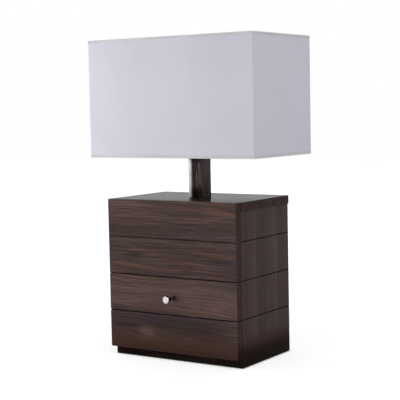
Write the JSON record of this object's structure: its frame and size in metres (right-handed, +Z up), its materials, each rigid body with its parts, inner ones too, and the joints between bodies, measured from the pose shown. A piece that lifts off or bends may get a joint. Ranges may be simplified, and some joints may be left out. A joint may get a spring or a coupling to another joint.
{
  "type": "desk lamp with drawer base",
  "caption": "Table lamp with a rectangular fabric shade on a short post, standing on a walnut box base whose drawer slides out by a round knob.",
  "frame": {"origin": "on the floor, under the middle of the box base, on the underside of its felt", "axes": "+Z up, +X to the right seen from the front, the drawer opens towards -Y"},
  "size_m": [0.3398, 0.2219, 0.5574],
  "materials": {
    "walnut_veneer": "satin dark walnut veneer",
    "dark_top": "glossy dark walnut veneer",
    "edge_band": "plain dark brown edge band",
    "dark_panel": "dark brown laminate",
    "raw_board": "plain board, sealed",
    "runner_wood": "waxed hardwood",
    "felt": "pressed felt",
    "screw_steel": "zinc plated",
    "black_rubber": "moulded",
    "post_metal": "polished black nickel",
    "knob_nickel": "polished nickel",
    "brass": "drawn",
    "socket_metal": "nickel plated",
    "socket_card": "pressed",
    "black_plastic": "moulded",
    "bulb_opal": "opal",
    "bulb_cap_metal": "rolled",
    "shade_fabric": "plain weave on a stiff backing",
    "shade_liner": "smooth backing film",
    "shade_hem": "folded hem tape",
    "frame_wire": "white"
  },
  "bodies": {
    "base": {"top_board": "dark_top", "left_side_panel": "walnut_veneer", "right_side_panel": "walnut_veneer", "back_panel": "dark_panel", "bottom_board": "raw_board", "drawer_shelf": "raw_board", "upper_divider": "raw_board", "front_plinth": "dark_panel", "rear_plinth": "dark_panel", "upper_front": "walnut_veneer", "lower_front": "walnut_veneer", "front_end_bands": "edge_band", "base_felt": "felt", "left_runner": "runner_wood", "right_runner": "runner_wood", "runner_screws": "screw_steel", "drawer_stop": "raw_board", "back_panel_screws": "screw_steel", "cord_bushing": "black_rubber", "post_core": "walnut_veneer", "post_front_bar": "post_metal", "post_cap_plate": "post_metal", "threaded_tube": "brass", "tube_washer": "screw_steel", "tube_nut": "brass", "harp_saddle": "brass", "harp": "brass", "socket_cap": "socket_metal", "socket_shell": "socket_metal", "socket_sleeve": "socket_card", "socket_core": "black_plastic", "screw_shell": "brass", "centre_contact": "brass"},
    "drawer": {"drawer_front": "walnut_veneer", "drawer_front_end_bands": "edge_band", "drawer_box_front": "raw_board", "drawer_left_side": "raw_board", "drawer_right_side": "raw_board", "drawer_back": "raw_board", "drawer_bottom": "raw_board", "knob_head": "knob_nickel", "knob_stem": "knob_nickel", "knob_screw": "screw_steel", "drawer_front_screws": "screw_steel"},
    "shade": {"shade_front_panel": "shade_fabric", "shade_back_panel": "shade_fabric", "shade_left_panel": "shade_fabric", "shade_right_panel": "shade_fabric", "shade_liner": "shade_liner", "shade_top_frame": "frame_wire", "shade_bottom_frame": "frame_wire", "shade_top_hem": "shade_hem", "shade_bottom_hem": "shade_hem"},
    "finial": {"finial": "knob_nickel"},
    "harp_sleeves": {"harp_sleeves": "brass"},
    "switch": {"switch_key": "black_plastic"},
    "bulb": {"bulb_glass": "bulb_opal", "bulb_screw_cap": "bulb_cap_metal", "bulb_insulator": "black_plastic"}
  },
  "joints": [
    {"name": "drawer_slide", "type": "slide", "parent": "base", "child": "drawer", "axis": [0, -1, 0], "range_m": [0, 0.11]},
    {"name": "shade_turn", "type": "hinge", "parent": "base", "child": "shade", "pos_m": [0, 0.011, 0.538], "axis": [0, 0, 1], "continuous": true},
    {"name": "finial_turn", "type": "hinge", "parent": "base", "child": "finial", "pos_m": [0, 0.011, 0.54], "axis": [0, 0, 1], "continuous": true},
    {"name": "sleeves_lift", "type": "slide", "parent": "base", "child": "harp_sleeves", "axis": [0, 0, 1], "range_m": [0, 0.01]},
    {"name": "switch_turn", "type": "hinge", "parent": "base", "child": "switch", "pos_m": [0, 0.011, 0.3825], "axis": [0, -1, 0], "continuous": true},
    {"name": "bulb_turn", "type": "hinge", "parent": "base", "child": "bulb", "pos_m": [0, 0.011, 0.42], "axis": [0, 0, 1], "continuous": true}
  ]
}
